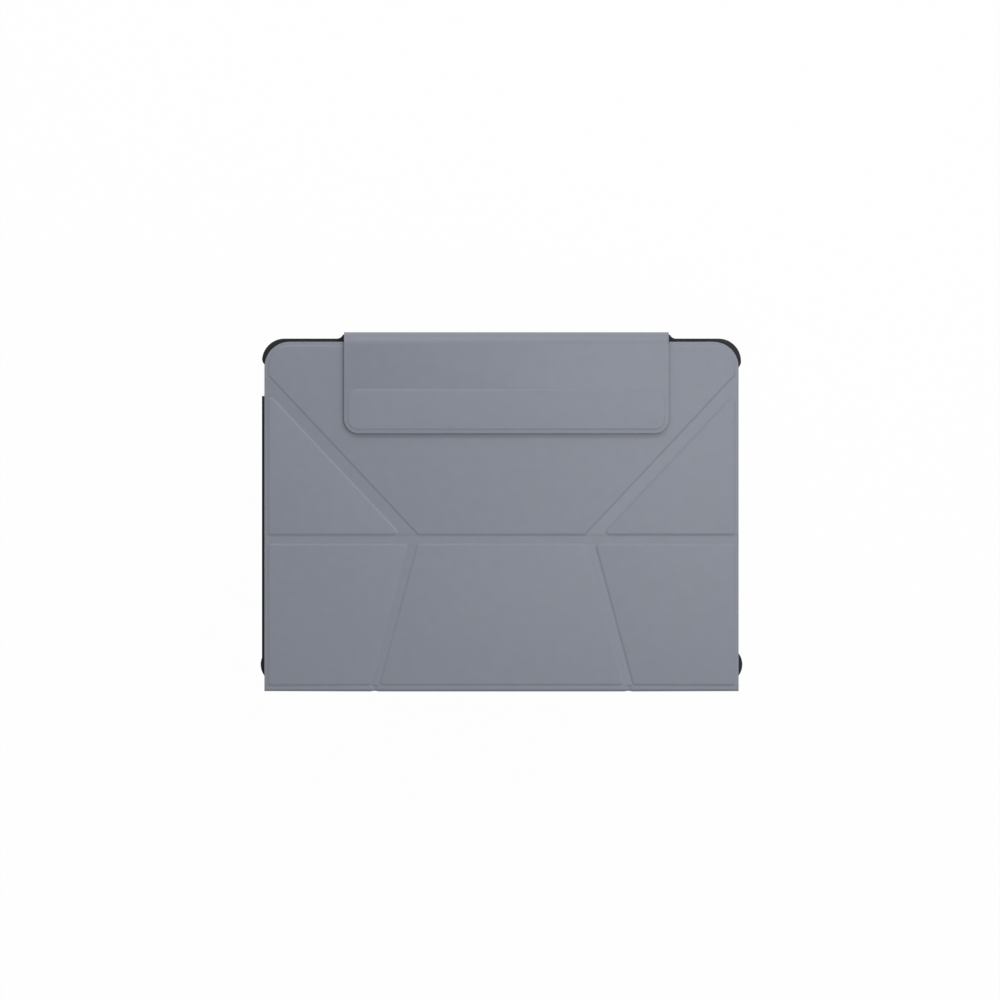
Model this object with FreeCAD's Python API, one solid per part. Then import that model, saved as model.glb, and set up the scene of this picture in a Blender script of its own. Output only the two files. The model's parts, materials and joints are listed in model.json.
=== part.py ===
import FreeCAD, Part
import math
import os

# A folding keyboard case for a tablet, lying on its back with the cover and the flap closed.
# X runs along the spine, Y from the spine to the flap and Z out of the front cover, in millimetres.

# Tablet and stylus that the case holds
tablet_length = 248.0
tablet_width = 178.0
tablet_thickness = 6.1
tablet_corner_r = 18.0
stylus_length = 166.0
stylus_diameter = 8.9

# Clearances
pocket_gap = 0.2
stylus_gap = 0.1
stylus_end_gap = 3.5
body_gap = 0.2
slip_gap = 0.1
key_clear = 0.3

# Sheet materials
skin_t = 0.7
lining_t = 0.4
board_t = 1.0
back_board_t = 1.2
spine_board_t = 0.4
spine_lining_t = 0.3
edge_round = 0.5

# Soft hinges along the spine
fold_r = 1.5
hinge_flat = 2.0

# Cover and its crease pattern
cover_overhang = 2.0
cover_top_overhang = 4.7
cover_corner_r = 13.4
hem = 2.0
crease_y = 80.9
crease_width = 5.0
diagonal_width = 6.6
vertex_x = 46.6
wing_from_top = 20.5
slant_foot_x = 67.4
panel_corner_r = 1.6
score_r = 0.35
keeper_t = 0.5
keeper_length = 26.0
keeper_width = 10.0
keeper_from_side = 31.0
keeper_edge = 11.0
wake_from_side = 22.0
wake_from_top = 22.0
wake_length = 10.0
wake_width = 5.0

# Tray floor and bumper
shell_t = 1.4
shell_rebate = 0.6
bottom_wall = 1.2
top_wall = 6.6
side_wall = 3.4
lip_t = 0.8
lip_overlap = 1.2
bumper_head_r = 12.0
bumper_foot_r = 16.2
lobe_r = 10.0
lobe_proud = 0.7
lobe_from_foot = 12.6
lobe_head = 6.3
guard_tip_r = 5.0
open_side_inset = 0.6
open_side_head = 9.6
notch_head = 8.0
notch_length = 16.0
bay_wall_drop = 1.4
bay_wall_t = 0.6
bay_sweep = 3.2
window_size = 32.0
window_corner_r = 9.0
window_from_edge = 19.5
window_ring_t = 1.5
window_ring_inset = 0.3

# Flap
flap_offset_x = 2.6
flap_drop = 54.2
flap_corner_r = 7.7
flap_front_r = 6.5
flap_back_r = 3.0
strip_t = 0.8
strip_depth = 21.2
strip_side_hem = 2.1
strip_foot_hem = 2.1
strip_corner_r = 5.3

# Keyboard case
keyboard_side_inset = 2.5
keyboard_depth = 160.0
keyboard_from_hinge = 2.5
keyboard_corner_r = 6.0
deck_t = 0.8
rim_t = 1.2
base_t = 0.8
base_round = 0.6
plate_t = 0.4
membrane_t = 0.2
dome_sheet_t = 0.2
foot_length = 18.0
foot_width = 6.0
foot_t = 0.5
foot_corner_r = 2.0
foot_proud = 0.3
foot_from_edge = 14.0
screw_boss_r = 1.6
screw_shank_r = 0.6
screw_head_r = 1.4
screw_head_t = 0.4
screw_edge = 3.2
screw_rows = 4
screw_from_end = 21.0
magnet_length = 24.0
magnet_width = 8.0
magnet_t = 0.5

# Keys
key_gap = 1.6
key_corner_r = 1.5
key_round = 0.4
key_proud = 1.0
key_travel = 1.2
flange_t = 0.35
flange_reach = 0.5
function_depth = 10.0
keys_margin = 5.0
keys_side_margin = 5.5
dome_base_r = 3.0
dome_top_r = 1.5
dome_spare = 0.2
dome_gap = 0.05
row_units = {
    "number_keys": [1.0] * 13 + [1.5],
    "upper_letter_keys": [1.5] + [1.0] * 13,
    "home_keys": [1.75] + [1.0] * 11 + [1.75],
    "lower_letter_keys": [2.25] + [1.0] * 10 + [2.25],
    "modifier_keys": [1.0] * 3 + [1.25, 5.0, 1.25] + [1.0] * 4,
}
function_count = 14

# Touchpad and the parts beside it
touchpad_length = 104.0
touchpad_t = 0.9
touchpad_recess = 0.1
touchpad_corner_r = 3.0
touchpad_from_keys = 4.0
touchpad_from_edge = 11.0
click_travel = 0.4
click_r = 2.0
click_base = 6.0
click_from_edge = 8.0
battery_depth = 40.0
battery_t = 2.0
battery_from_pad = 4.0
battery_from_side = 13.5
controller_length = 40.0
controller_depth = 34.0
controller_t = 0.8
chip_size = 9.0
chip_t = 0.8
chip_from_edge = 9.0
chip_pitch = 18.0
port_width = 9.0
port_height = 2.4
port_length = 7.0
port_wall = 0.3
port_from_edge = 14.0
switch_length = 4.0
switch_height = 1.2
switch_travel = 3.0
switch_proud = 0.4
switch_flange = 0.8
switch_from_edge = 34.0
light_r = 0.5
light_tail = 0.8
light_from_side = 21.5

tiny = 1e-3
Vector = FreeCAD.Vector

# Levels along Y, measured from the spine's outer face
cover_y0 = fold_r + hinge_flat
tray_y0 = skin_t + spine_board_t + spine_lining_t + body_gap
pocket_y0 = tray_y0 + bottom_wall
pocket_y1 = pocket_y0 + tablet_width + 2 * pocket_gap
cover_y1 = pocket_y1 + cover_top_overhang
wing_y = cover_y1 - wing_from_top
rim_y1 = pocket_y1 + top_wall
flap_sheet_t = skin_t + lining_t
bridge_y0 = pocket_y1 + stylus_diameter + stylus_gap
case_depth = bridge_y0 + flap_sheet_t
flap_y0 = case_depth - flap_drop
lobe_y = tray_y0 + lobe_from_foot
open_y = (lobe_y, pocket_y1 - open_side_head)
notch_y = (pocket_y1 - notch_head - notch_length, pocket_y1 - notch_head)
keyboard_y0 = cover_y0 + keyboard_from_hinge
keyboard_y1 = keyboard_y0 + keyboard_depth

# Half widths along X
pocket_half = tablet_length / 2 + pocket_gap
cover_half = tablet_length / 2 + cover_overhang
tray_half = pocket_half + side_wall
lobe_half = tray_half + lobe_proud
bay_half = stylus_length / 2 + stylus_end_gap
flap_half = bay_half - body_gap
keyboard_half = tablet_length / 2 - keyboard_side_inset
key_unit = 2 * (keyboard_half - keys_side_margin) / sum(row_units["number_keys"])

# Levels along Z, from the back's outer face
back_board_z = (skin_t, skin_t + back_board_t)
shell_z = (back_board_z[1], back_board_z[1] + shell_t)
pocket_z = (shell_z[1], shell_z[1] + tablet_thickness + pocket_gap)
lip_z = (pocket_z[1], pocket_z[1] + lip_t)
key_face_z = lip_z[1] + key_clear
deck_z = (key_face_z + key_proud, key_face_z + key_proud + deck_t)
flange_z = (deck_z[1] + slip_gap, deck_z[1] + slip_gap + flange_t)
dome_z = (flange_z[1] + dome_gap, flange_z[1] + dome_gap + key_travel + dome_spare)
dome_sheet_z = (dome_z[1], dome_z[1] + dome_sheet_t)
membrane_z = (dome_sheet_z[1], dome_sheet_z[1] + membrane_t)
plate_z = (membrane_z[1], membrane_z[1] + plate_t)
base_z = (plate_z[1], plate_z[1] + base_t)
lining_z = (base_z[1] + foot_proud + slip_gap, base_z[1] + foot_proud + slip_gap + lining_t)
board_z = (lining_z[1], lining_z[1] + board_t)
hem_z = lining_z[1] + skin_t
cover_z = board_z[1] + skin_t
flap_lining_z = (cover_z + body_gap, cover_z + body_gap + lining_t)
strip_z = (flap_lining_z[1], flap_lining_z[1] + strip_t)
flap_hem_z = strip_z[0] + skin_t

# Axes of the folds, as (y, z)
spine_axis = (fold_r, fold_r)
cover_axis = (fold_r, hem_z - fold_r)
crease_axis = (crease_y, hem_z)
flap_back_axis = (case_depth - flap_back_r, flap_back_r)
flap_front_axis = (case_depth - flap_front_r, flap_hem_z - flap_front_r)

# Spans along X
cover_x = (-cover_half, cover_half)
flap_x = (flap_offset_x - flap_half, flap_offset_x + flap_half)
bay_x = (flap_offset_x - bay_half, flap_offset_x + bay_half)


def block(x, y, z):
    """A box from its three (low, high) spans."""
    return Part.makeBox(x[1] - x[0], y[1] - y[0], z[1] - z[0], Vector(x[0], y[0], z[0]))


def span(middle, length):
    """The (low, high) pair of a length about its middle."""
    return (middle - length / 2, middle + length / 2)


def grown(pair, amount):
    """A span made longer at both ends."""
    return (pair[0] - amount, pair[1] + amount)


def outline(points, radii):
    """A closed wire round the points, anticlockwise, with each corner rounded by its radius."""
    bends = []
    for i, point in enumerate(points):
        corner = Vector(*point, 0)
        back = (Vector(*points[i - 1], 0) - corner).normalize()
        ahead = (Vector(*points[(i + 1) % len(points)], 0) - corner).normalize()
        half = back.getAngle(ahead) / 2
        reach = radii[i] / math.tan(half)
        depth = radii[i] / math.sin(half) - radii[i]
        middle = corner + (back + ahead).normalize() * depth
        bends.append((corner + back * reach, middle, corner + ahead * reach))
    edges = []
    for i, (start, middle, end) in enumerate(bends):
        if radii[i] > 0:
            edges.append(Part.Arc(start, middle, end).toShape())
        following = bends[(i + 1) % len(bends)][0]
        if (following - end).Length > tiny:
            edges.append(Part.LineSegment(end, following).toShape())
    return Part.Wire(edges)


def rectangle(x, y, foot_r=0.0, head_r=0.0):
    """A rectangle whose two low and two high corners are rounded."""
    points = [(x[0], y[0]), (x[1], y[0]), (x[1], y[1]), (x[0], y[1])]
    return outline(points, [foot_r, foot_r, head_r, head_r])


def inset(points, distances):
    """A convex polygon with each side moved inward; side i leaves point i."""
    sides = []
    for i, point in enumerate(points):
        run = Vector(*points[(i + 1) % len(points)], 0) - Vector(*point, 0)
        run.normalize()
        inward = Vector(-run.y, run.x, 0)
        sides.append((Vector(*point, 0) + inward * distances[i], run))
    corners = []
    for i, (start, run) in enumerate(sides):
        before, before_run = sides[i - 1]
        gap = start - before
        turn = before_run.x * run.y - before_run.y * run.x
        along = (gap.x * run.y - gap.y * run.x) / turn
        corner = before + before_run * along
        corners.append((corner.x, corner.y))
    return corners


def prism(wire, z):
    """A flat outline drawn up between two levels."""
    solid = Part.Face(wire).extrude(Vector(0, 0, z[1] - z[0]))
    solid.translate(Vector(0, 0, z[0]))
    return solid


def ease(solid, level, radius):
    """A solid with the edges that lie at one level rounded."""
    flat = [e for e in solid.Edges if abs(e.BoundBox.ZMin - level) < tiny]
    return solid.makeFillet(radius, [e for e in flat if e.BoundBox.ZLength < tiny])


def joined(shapes):
    """One solid from several that touch."""
    return shapes[0].multiFuse(shapes[1:]).removeSplitter()


def less(solid, cutters):
    """A solid with all the cutters taken away."""
    return solid.cut(Part.makeCompound(cutters)) if cutters else solid


def rod(radius, start, direction, length):
    """A round bar from a point along a direction."""
    return Part.makeCylinder(radius, length, Vector(*start), Vector(*direction))


def bend(x, axis, outer_r, thickness, y_side, z_side):
    """A quarter turn of sheet about an axis along X, on the given sides of it."""
    start = (x[0], *axis)
    width = x[1] - x[0]
    ring = rod(outer_r, start, (1, 0, 0), width)
    ring = ring.cut(rod(outer_r - thickness, start, (1, 0, 0), width))
    y = sorted((axis[0], axis[0] + y_side * outer_r))
    z = sorted((axis[1], axis[1] + z_side * outer_r))
    return ring.common(block(x, y, z))


def wrapped_skin(sheet, pads, z, insert_t):
    """A skin laid flat at level z and drawn over stiff inserts; pads are (outer, insert) wires."""
    top = z + insert_t + skin_t
    raised = [ease(prism(outer, (z, top)), top, edge_round) for outer, insert in pads]
    skin = joined([prism(sheet, (z, z + skin_t))] + raised)
    return less(skin, [prism(insert, (z, z + insert_t)) for outer, insert in pads])


def save(name, shape):
    """Writes one node, with the origin moved to the middle of the footprint."""
    placed = shape.copy()
    placed.translate(Vector(0, -case_depth / 2, 0))
    placed.exportStep(f"parts/{name}.step")


def panel_wires(points, distances, radii):
    """The raised outline of one cover panel and the outline of the board inside it."""
    raised = inset(points, distances)
    board = inset(raised, [skin_t] * len(raised))
    board_radii = [max(r - skin_t, score_r) for r in radii]
    return outline(raised, radii), outline(board, board_radii)


def upper_panels():
    """The upper board and the two wings beside it, as (raised, board) wires by name."""
    mid = crease_width / 2
    diagonal = diagonal_width / 2
    small = panel_corner_r
    top_r = cover_corner_r - hem
    side, foot, wing, top = cover_half, crease_y, wing_y, cover_y1
    hexagon = [(-vertex_x, foot), (vertex_x, foot), (side, wing), (side, top), (-side, top), (-side, wing)]
    left = [(-side, foot), (-vertex_x, foot), (-side, wing)]
    right = [(vertex_x, foot), (side, foot), (side, wing)]
    return {
        "board_upper": panel_wires(
            hexagon, [mid, diagonal, hem, hem, hem, diagonal], [small, small, small, top_r, top_r, small]
        ),
        "board_left_wing": panel_wires(left, [mid, diagonal, hem], [small] * 3),
        "board_right_wing": panel_wires(right, [mid, hem, diagonal], [small] * 3),
    }


def lower_panels():
    """The three boards below the middle crease, as (raised, board) wires by name."""
    mid = crease_width / 2
    small = [panel_corner_r] * 4
    side, foot, head, low = cover_half, slant_foot_x, vertex_x, cover_y0
    left = [(-side, low), (-foot, low), (-head, crease_y), (-side, crease_y)]
    centre = [(-foot, low), (foot, low), (head, crease_y), (-head, crease_y)]
    right = [(foot, low), (side, low), (side, crease_y), (head, crease_y)]
    return {
        "board_lower_left": panel_wires(left, [0, mid, mid, hem], small),
        "board_lower_centre": panel_wires(centre, [0, mid, mid, mid], small),
        "board_lower_right": panel_wires(right, [0, hem, mid, mid], small),
    }


def camera_window(grow=0.0):
    """The outline of the camera window in the back, made smaller or larger."""
    middle_x = window_from_edge - pocket_half
    middle_y = pocket_y1 - window_from_edge
    size = window_size + 2 * grow
    radius = window_corner_r + grow
    return rectangle(span(middle_x, size), span(middle_y, size), radius, radius)


def build_back():
    """Back panel, tray floor and camera guard."""
    through = prism(camera_window(), (-skin_t, pocket_z[1]))
    sheet = prism(rectangle(cover_x, (cover_y0, cover_y1), 0, cover_corner_r), (0, skin_t))
    tongue = block(flap_x, (crease_y, flap_back_axis[0] - hinge_flat), (0, skin_t))
    save("back_skin", less(joined([sheet, tongue]), [through]))
    board_x = grown(cover_x, -hem)
    board_y = (cover_y0, cover_y1 - hem)
    board = prism(rectangle(board_x, board_y, 0, cover_corner_r - hem), back_board_z)
    save("back_board", less(board, [through]))
    save("tray_shell", less(prism(pocket_outline(shell_rebate), shell_z), [through]))
    ring_z = (window_ring_inset, shell_z[1])
    save("camera_ring", prism(camera_window(), ring_z).cut(prism(camera_window(-window_ring_t), ring_z)))


def pocket_outline(grow):
    """The tablet's outline in the tray, made larger or smaller all round."""
    radius = tablet_corner_r + pocket_gap + grow
    x = grown((-pocket_half, pocket_half), grow)
    return rectangle(x, grown((pocket_y0, pocket_y1), grow), radius, radius)


def bay_end(side):
    """The raised end of the stylus bay, whose rim sweeps up in a hollow curve to the flap's edge."""
    near = bay_x[0] if side < 0 else bay_x[1]
    crest = case_depth - bay_wall_drop
    rise = crest - rim_y1
    shoulder = near + side * bay_wall_t
    foot = shoulder + side * bay_sweep
    # The curve is one arc that leaves the rim level, here with its radius and half its turn
    radius = (bay_sweep**2 + rise**2) / (2 * rise)
    turn = math.asin(bay_sweep / radius) / 2
    top = Vector(shoulder, crest, 0)
    middle = Vector(foot - side * radius * math.sin(turn), rim_y1 + radius * (1 - math.cos(turn)), 0)
    end = Vector(foot, rim_y1, 0)
    corners = [(foot, pocket_y1), (near, pocket_y1), (near, crest)]
    straight = Part.makePolygon([end, *[Vector(*corner, 0) for corner in corners], top])
    edges = [Part.Arc(top, middle, end).toShape(), *straight.Edges]
    return prism(Part.Wire(edges), (shell_z[0], lip_z[1]))


def side_cut(side, y):
    """What is taken off one side of the bumper, so that the guard above it ends in a round tip."""
    outer = cover_half - open_side_inset
    reach = math.sqrt(guard_tip_r**2 - (guard_tip_r - tray_half + outer) ** 2)
    height = (0, lip_z[1])
    x = sorted((side * outer, side * (lobe_half + side_wall)))
    tip = (side * (tray_half - guard_tip_r), y[1] + reach, 0)
    return block(x, (y[0], y[1] + reach), height).cut(rod(guard_tip_r, tip, (0, 0, 1), height[1]))


def build_bumper():
    """Soft bumper round the tray floor, open on the right, with lobed feet and the stylus bay."""
    height = (shell_z[0], lip_z[1])
    above = (pocket_z[0], lip_z[1] + lip_t)
    beyond = lobe_half + side_wall
    outline_x = (-tray_half, tray_half)
    body = prism(rectangle(outline_x, (tray_y0, rim_y1), bumper_foot_r, bumper_head_r), height)
    frame = less(joined([body, bay_end(-1), bay_end(1)]), [side_cut(1, open_y), side_cut(-1, notch_y)])
    lobe_x = lobe_half - lobe_r
    lobes = [rod(lobe_r, (x, lobe_y, height[0]), (0, 0, 1), height[1] - height[0]) for x in (-lobe_x, lobe_x)]
    cutters = [
        prism(pocket_outline(shell_rebate), shell_z),
        prism(pocket_outline(0), pocket_z),
        prism(pocket_outline(-lip_overlap), above),
        block(bay_x, (pocket_y1 - lip_overlap, case_depth), above),
        block((0, beyond), (lobe_y + lobe_head, open_y[1]), above),
        block((-beyond, 0), notch_y, above),
    ]
    save("bumper_frame", less(joined([frame, *lobes]), cutters))


def build_spine():
    """Spine with its three stiff lengths and the soft hinges above and below it."""
    z = (spine_axis[1] + hinge_flat, cover_axis[1] - hinge_flat)
    board_y = (skin_t, skin_t + spine_board_t)
    lining_y = (board_y[1], board_y[1] + spine_lining_t)
    save("spine_skin", block(cover_x, (0, skin_t), z))
    save("spine_lining", block(cover_x, lining_y, z))
    breaks = span(slant_foot_x, crease_width)
    lengths = [(hem - cover_half, -breaks[1]), (-breaks[0], breaks[0]), (breaks[1], cover_half - hem)]
    save("spine_boards", Part.makeCompound([block(x, board_y, z) for x in lengths]))
    lower = [
        bend(cover_x, spine_axis, fold_r, skin_t, -1, -1),
        block(cover_x, (fold_r, cover_y0), (0, skin_t)),
        block(cover_x, (0, skin_t), (fold_r, z[0])),
    ]
    save("hinge_back", joined(lower))
    upper = [
        bend(cover_x, cover_axis, fold_r, skin_t, -1, 1),
        block(cover_x, (fold_r, cover_y0), (hem_z - skin_t, hem_z)),
        block(cover_x, (0, skin_t), (z[1], cover_axis[1])),
    ]
    save("hinge_cover", joined(upper))


def keeper_places():
    """Middles of the plates that hold the keyboard, three along each edge of the lower cover."""
    rows = (cover_y0 + keeper_edge, crease_y - crease_width / 2 - keeper_edge)
    side = cover_half - keeper_from_side
    return [(x, y) for y in rows for x in (-side, 0, side)]


def build_lower_cover():
    """Cover from the spine hinge to the middle crease."""
    panels = lower_panels()
    y = (cover_y0, crease_y - crease_width / 2)
    save("lower_skin", wrapped_skin(rectangle(cover_x, y), panels.values(), board_z[0], board_t))
    save("lower_lining", prism(rectangle(grown(cover_x, -edge_round), y), lining_z))
    keeper_z = (board_z[0], board_z[0] + keeper_t)
    keepers = [
        block(span(x, keeper_length), span(middle, keeper_width), keeper_z) for x, middle in keeper_places()
    ]
    for name, (raised, board) in panels.items():
        save(name, less(prism(board, board_z), keepers))
    save("keyboard_keepers", Part.makeCompound(keepers))
    strip = block(cover_x, span(crease_y, crease_width), (lining_z[0], hem_z))
    score = rod(score_r, (-cover_half, *crease_axis), (1, 0, 0), 2 * cover_half)
    save("crease_middle", strip.cut(score))


def strip_wires():
    """The raised outline of the flap's magnet strip and the outline of the strip itself."""
    x = grown(flap_x, -strip_side_hem)
    y = (flap_y0 + strip_foot_hem, flap_y0 + strip_foot_hem + strip_depth)
    raised = rectangle(x, y, strip_corner_r, strip_corner_r)
    radius = strip_corner_r - skin_t
    return raised, rectangle(grown(x, -skin_t), grown(y, -skin_t), radius, radius)


def build_upper_cover():
    """Cover from the middle crease to its free edge."""
    panels = upper_panels()
    y = (crease_y + crease_width / 2, cover_y1)
    sheet = rectangle(cover_x, y, 0, cover_corner_r)
    save("upper_skin", wrapped_skin(sheet, panels.values(), board_z[0], board_t))
    lining_y = (y[0], y[1] - edge_round)
    save("upper_lining", prism(rectangle(grown(cover_x, -edge_round), lining_y, 0, cover_corner_r), lining_z))
    keeper_x_span = grown(flap_x, -strip_side_hem - strip_corner_r)
    foot = flap_y0 + strip_foot_hem + strip_corner_r
    keeper = block(keeper_x_span, (foot, foot + keeper_width), (board_z[1] - keeper_t, board_z[1]))
    wake_y = span(cover_y1 - wake_from_top, wake_width)
    wake_x = span(cover_half - wake_from_side, wake_length)
    wake = block(wake_x, wake_y, (board_z[0], board_z[0] + keeper_t))
    for name, (raised, board) in panels.items():
        save(name, less(prism(board, board_z), [keeper, wake]))
    save("flap_keeper_plate", keeper)
    save("wake_magnet", wake)


def build_flap():
    """Flap that wraps over the stylus bay from the back and closes on the cover by magnets."""
    outer_y = (case_depth - skin_t, case_depth)
    inner_y = (bridge_y0, outer_y[0])
    z = (flap_back_axis[1], flap_front_axis[1])
    save("bridge_skin", block(flap_x, outer_y, z))
    save("bridge_lining", block(flap_x, inner_y, z))
    run = block(flap_x, (flap_back_axis[0] - hinge_flat, flap_back_axis[0]), (0, skin_t))
    save("flap_hinge_back", joined([bend(flap_x, flap_back_axis, flap_back_r, flap_sheet_t, 1, -1), run]))
    save("flap_hinge_front", bend(flap_x, flap_front_axis, flap_front_r, flap_sheet_t, 1, 1))
    y = (flap_y0, flap_front_axis[0])
    sheet = rectangle(flap_x, y, flap_corner_r)
    raised, strip = strip_wires()
    save("flap_skin", wrapped_skin(sheet, [(raised, strip)], strip_z[0], strip_t))
    save("flap_lining", prism(sheet, flap_lining_z))
    save("flap_magnet_strip", prism(strip, strip_z))


def key_rows():
    """Every key as its (x, y) cell spans, by row, from the spine side to the touchpad."""
    rows = {}
    y = keyboard_y0 + keys_margin
    wide = sum(row_units["number_keys"])
    layout = {"function_keys": [wide / function_count] * function_count, **row_units}
    for name, units in layout.items():
        depth = function_depth if name == "function_keys" else key_unit
        x = -wide * key_unit / 2
        rows[name] = []
        for unit in units:
            rows[name].append(((x, x + unit * key_unit), (y, y + depth)))
            x += unit * key_unit
        y += depth
    widest = max(row_units["modifier_keys"])
    rows["space_bar"] = [rows["modifier_keys"].pop(row_units["modifier_keys"].index(widest))]
    return rows


def key_cap(cell):
    """A key with a rounded face and the flange that keeps it behind the deck."""
    x, y = (grown(pair, -key_gap / 2) for pair in cell)
    cap = prism(rectangle(x, y, key_corner_r, key_corner_r), (key_face_z, flange_z[1]))
    cap = ease(cap, key_face_z, key_round)
    radius = key_corner_r + flange_reach
    flange = rectangle(grown(x, flange_reach), grown(y, flange_reach), radius, radius)
    return joined([cap, prism(flange, flange_z)])


def key_opening(cell):
    """The hole in the deck that guides one key."""
    x, y = (grown(pair, body_gap - key_gap / 2) for pair in cell)
    return prism(rectangle(x, y, key_corner_r, key_corner_r), deck_z)


def dome(cell):
    """The rubber dome under the middle of a key."""
    x, y = (sum(pair) / 2 for pair in cell)
    return Part.makeCone(dome_top_r, dome_base_r, dome_z[1] - dome_z[0], Vector(x, y, dome_z[0]))


def screw_places():
    """Middles of the screws along both sides of the keyboard."""
    x = keyboard_half - rim_t - screw_edge + screw_boss_r / 2
    first = keyboard_y0 + screw_from_end
    pitch = (keyboard_depth - 2 * screw_from_end) / (screw_rows - 1)
    return [(side * x, first + pitch * i) for side in (-1, 1) for i in range(screw_rows)]


def keyboard_outline(shrink):
    """The keyboard's rounded outline, made smaller all round."""
    radius = keyboard_corner_r - shrink
    x = grown((-keyboard_half, keyboard_half), -shrink)
    return rectangle(x, grown((keyboard_y0, keyboard_y1), -shrink), radius, radius)


def touchpad_spans():
    """The touchpad's (x, y) spans."""
    keys_end = keyboard_y0 + keys_margin + function_depth + len(row_units) * key_unit
    foot = keys_end + touchpad_from_keys
    return span(0, touchpad_length), (foot, keyboard_y1 - touchpad_from_edge)


def switch_spans(spare):
    """The power switch's knob in the rim as (y, z) spans, with room added round it."""
    y0 = keyboard_y1 - switch_from_edge
    middle_z = (deck_z[1] + base_z[0]) / 2
    return grown((y0, y0 + switch_length), spare), grown(span(middle_z, switch_height), spare)


def port_spans():
    """The charging port's (x, y, z) spans at the right edge."""
    z0 = deck_z[1] + slip_gap
    y = span(keyboard_y1 - port_from_edge, port_width)
    return (keyboard_half - port_length, keyboard_half), y, (z0, z0 + port_height)


def flat_tube(spans, shrink):
    """A bar along X with fully rounded sides, made thinner all round."""
    x, y, z = spans
    radius = (z[1] - z[0]) / 2 - shrink
    core = block(x, grown(y, -shrink - radius), grown(z, -shrink))
    middle_z = sum(z) / 2
    ends = [
        rod(radius, (x[0], end, middle_z), (1, 0, 0), x[1] - x[0]) for end in grown(y, -shrink - radius)
    ]
    return joined([core, *ends])


def light_start():
    """Where the status light meets the deck's face, between the rim and the keys."""
    return (keyboard_half - light_from_side, keyboard_y0 + (rim_t + keys_margin) / 2, deck_z[0])


def build_keyboard_case(rows):
    """Base, deck, screws, feet and magnets of the keyboard."""
    cells = [cell for row in rows.values() for cell in row]
    outer = ease(prism(keyboard_outline(0), (deck_z[0], base_z[1])), base_z[1], base_round)
    inside = prism(keyboard_outline(rim_t), (deck_z[0], base_z[0]))
    magnet_z = (base_z[0], base_z[0] + magnet_t)
    magnets = [
        block(span(x, magnet_length), span(y, magnet_width), magnet_z) for x, y in keeper_places()
    ]
    foot_x = keyboard_half - foot_from_edge
    foot_y = (keyboard_y0 + foot_from_edge / 2, keyboard_y1 - foot_from_edge / 2)
    foot_z = (base_z[1] + foot_proud - foot_t, base_z[1] + foot_proud)
    feet = []
    for x in (-foot_x, foot_x):
        for y in foot_y:
            spans = span(x, foot_length), span(y, foot_width)
            feet.append(prism(rectangle(*spans, foot_corner_r, foot_corner_r), foot_z))
    heads, shanks, bosses, shank_holes, head_holes = [], [], [], [], []
    for x, y in screw_places():
        head_start = (x, y, base_z[1] - screw_head_t)
        shank_start = (x, y, deck_z[1])
        shank_length = base_z[1] - screw_head_t - deck_z[1]
        heads.append(rod(screw_head_r, head_start, (0, 0, 1), screw_head_t))
        shanks.append(rod(screw_shank_r, shank_start, (0, 0, 1), shank_length))
        bosses.append(rod(screw_boss_r, shank_start, (0, 0, 1), base_z[0] - deck_z[1]))
        shank_holes.append(rod(screw_shank_r + slip_gap, shank_start, (0, 0, 1), shank_length))
        head_holes.append(rod(screw_head_r + slip_gap, head_start, (0, 0, 1), screw_head_t))
    slot_y, slot_z = switch_spans(slip_gap)
    rim_x = (keyboard_half - 2 * rim_t, keyboard_half + rim_t)
    slot = block(rim_x, (slot_y[0], slot_y[1] + switch_travel), slot_z)
    cutters = [inside, *magnets, *feet, *shank_holes, *head_holes, slot, flat_tube(port_spans(), 0)]
    save("keyboard_base", less(outer, cutters))
    save("keyboard_magnets", Part.makeCompound(magnets))
    save("base_feet", Part.makeCompound(feet))
    save("base_screws", Part.makeCompound([joined(pair) for pair in zip(heads, shanks)]))
    pad_x, pad_y = touchpad_spans()
    pad_hole = rectangle(grown(pad_x, body_gap), grown(pad_y, body_gap), 0, touchpad_corner_r)
    light_hole = rod(light_r + dome_gap, light_start(), (0, 0, 1), deck_t)
    openings = [key_opening(cell) for cell in cells] + [prism(pad_hole, deck_z), light_hole]
    deck = joined([prism(keyboard_outline(rim_t + slip_gap), deck_z), *bosses])
    save("keyboard_deck", less(deck, openings + shank_holes))


def build_key_stack(rows):
    """Key rows, and the domes, membrane and plate behind them."""
    for name, cells in rows.items():
        save(name, Part.makeCompound([key_cap(cell) for cell in cells]))
    cells = [cell for row in rows.values() for cell in row]
    half = screw_places()[-1][0] - screw_boss_r - body_gap
    y = (keyboard_y0 + keys_margin - key_gap, touchpad_spans()[1][0] - touchpad_from_keys / 2)
    sheet = rectangle((-half, half), y, key_corner_r, key_corner_r)
    save("dome_sheet", joined([prism(sheet, dome_sheet_z)] + [dome(cell) for cell in cells]))
    save("circuit_membrane", prism(sheet, membrane_z))
    save("key_plate", prism(sheet, plate_z))


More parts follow.
